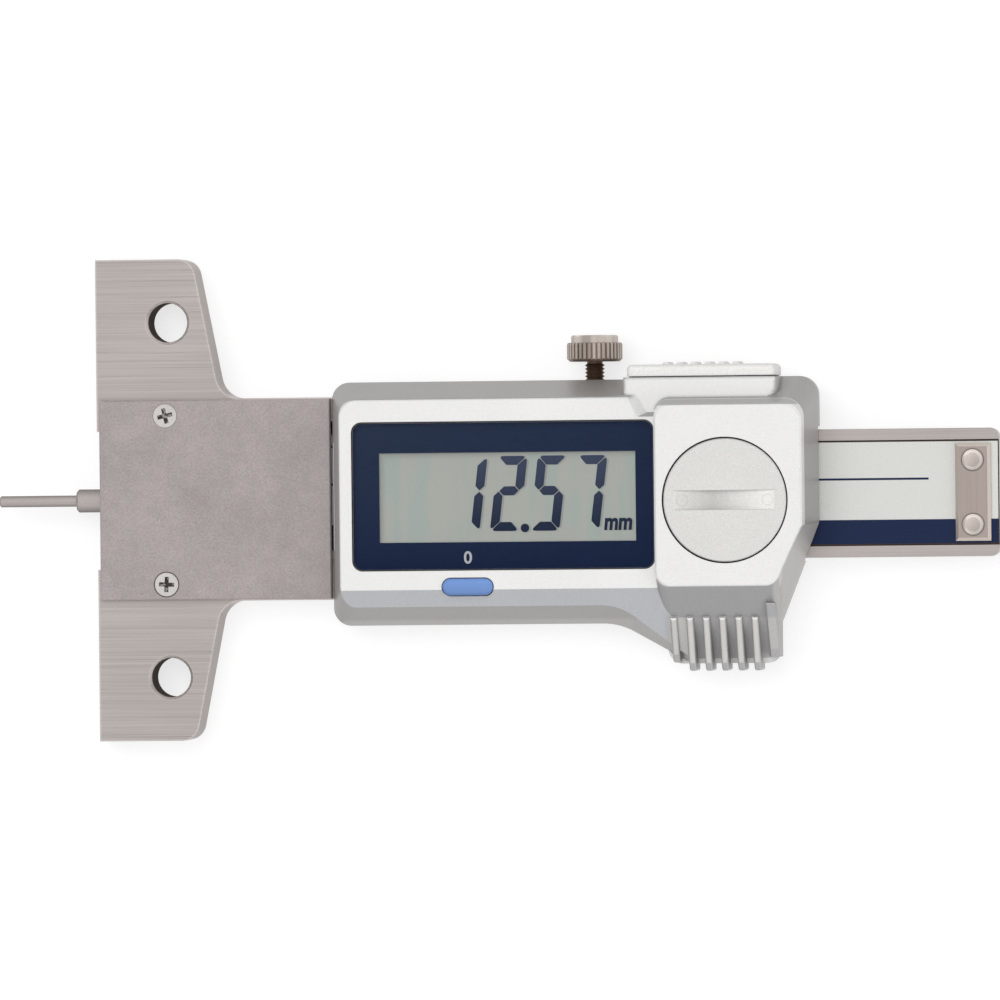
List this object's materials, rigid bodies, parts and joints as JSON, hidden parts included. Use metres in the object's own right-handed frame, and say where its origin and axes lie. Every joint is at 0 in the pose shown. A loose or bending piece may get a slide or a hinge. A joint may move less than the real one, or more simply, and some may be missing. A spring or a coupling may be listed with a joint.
{
  "type": "digital tire tread depth gauge",
  "caption": "Digital depth gauge: a steel measuring base, a sliding beam with a thin probe pin, and a silver readout housing with a zero button, battery cap and clamp screw.",
  "frame": {"origin": "centre of the bounding box at the back of the gauge, which lies on its back", "axes": "+X along the beam, away from the probe's tip; +Y along the measuring base towards the clamp screw; +Z out of the display"},
  "size_m": [0.1252, 0.06, 0.0155],
  "materials": {
    "base_steel": "long brushed grain",
    "plate_steel": "fine satin",
    "bright_screws": "bright",
    "beam_steel": "ground rails",
    "scale_board": "coated board",
    "label_film": "printed silver film with navy bands",
    "stop_steel": "satin with bright bevels",
    "pin_steel": "ground round",
    "housing_silver": "satin silver paint on moulded plastic",
    "window_navy": "navy print",
    "window_lens": "clear gloss",
    "lcd_glass": "grey-green with dark digits",
    "holder_plastic": "plain",
    "contact_rubber": "plain",
    "circuit_board": "solder resist",
    "connector_black": "plain",
    "button_blue": "semi gloss",
    "cell_steel": "plated",
    "contact_metal": "sheet",
    "cap_silver": "satin silver",
    "seal_rubber": "plain",
    "cover_silver": "satin silver",
    "clamp_steel": "knurled",
    "shoe_brass": "turned",
    "gib_steel": "hardened"
  },
  "bodies": {
    "gauge": {"depth_base": "base_steel", "guide_cover_plate": "plate_steel", "cover_plate_screw_upper": "bright_screws", "cover_plate_screw_lower": "bright_screws", "port_cover_screw_left": "bright_screws", "port_cover_screw_right": "bright_screws", "housing_screw_upper_left": "bright_screws", "housing_screw_lower_left": "bright_screws", "housing_screw_upper_right": "bright_screws", "housing_screw_lower_right": "bright_screws", "front_housing": "housing_silver", "display_mask": "window_navy", "display_lens": "window_lens", "lcd_panel": "lcd_glass", "lcd_holder": "holder_plastic", "lcd_connector_upper": "contact_rubber", "lcd_connector_lower": "contact_rubber", "main_circuit_board": "circuit_board", "reading_head": "circuit_board", "board_connector": "connector_black", "output_connector": "connector_black", "tact_switch": "connector_black", "button_cell": "cell_steel", "battery_contact_lower": "contact_metal", "battery_contact_side": "contact_metal", "port_gasket": "seal_rubber", "port_cover": "cover_silver", "gib_strip": "gib_steel", "gib_leaf_spring": "gib_steel", "gib_screw_left": "gib_steel", "gib_screw_right": "gib_steel"},
    "beam_group": {"beam": "beam_steel", "scale_strip": "scale_board", "scale_label": "label_film", "stop_plate": "stop_steel", "stop_rivet_upper": "stop_steel", "stop_rivet_lower": "stop_steel", "measuring_pin": "pin_steel", "pin_set_screw": "pin_steel"},
    "button": {"origin_button": "button_blue", "button_pad": "contact_rubber"},
    "shoe": {"clamp_shoe": "shoe_brass"},
    "clamp": {"clamp_screw": "clamp_steel"},
    "cap_seal": {"cap_o_ring": "seal_rubber"},
    "cap": {"battery_cap": "cap_silver"}
  },
  "joints": [
    {"name": "beam_slide", "type": "slide", "parent": "gauge", "child": "beam_group", "axis": [-1, 0, 0], "range_m": [-0.01257, 0.01243]},
    {"name": "button_press", "type": "slide", "parent": "gauge", "child": "button", "axis": [0, 0, -1], "range_m": [0, 0.00035], "stiffness_N_per_m": 2500},
    {"name": "shoe_travel", "type": "slide", "parent": "gauge", "child": "shoe", "axis": [0, -1, 0], "range_m": [-0.00045, 0.0003]},
    {"name": "clamp_turn", "type": "hinge", "parent": "shoe", "child": "clamp", "pos_m": [0.01232, 0.0167, 0.0042], "axis": [0, -1, 0], "range_deg": [-361, 241]},
    {"name": "seal_lift", "type": "slide", "parent": "gauge", "child": "cap_seal", "axis": [0, 0, 1], "range_m": [0, 0.00225]},
    {"name": "cap_turn", "type": "hinge", "parent": "cap_seal", "child": "cap", "pos_m": [0.02949, -0.00064, 0.0155], "axis": [0, 0, 1], "range_deg": [0, 1081]}
  ],
  "couplings": [
    {"joint": "clamp_turn", "follows": "shoe_travel", "rad_per_m": 13963},
    {"joint": "cap_turn", "follows": "seal_lift", "rad_per_m": 8377.6}
  ]
}
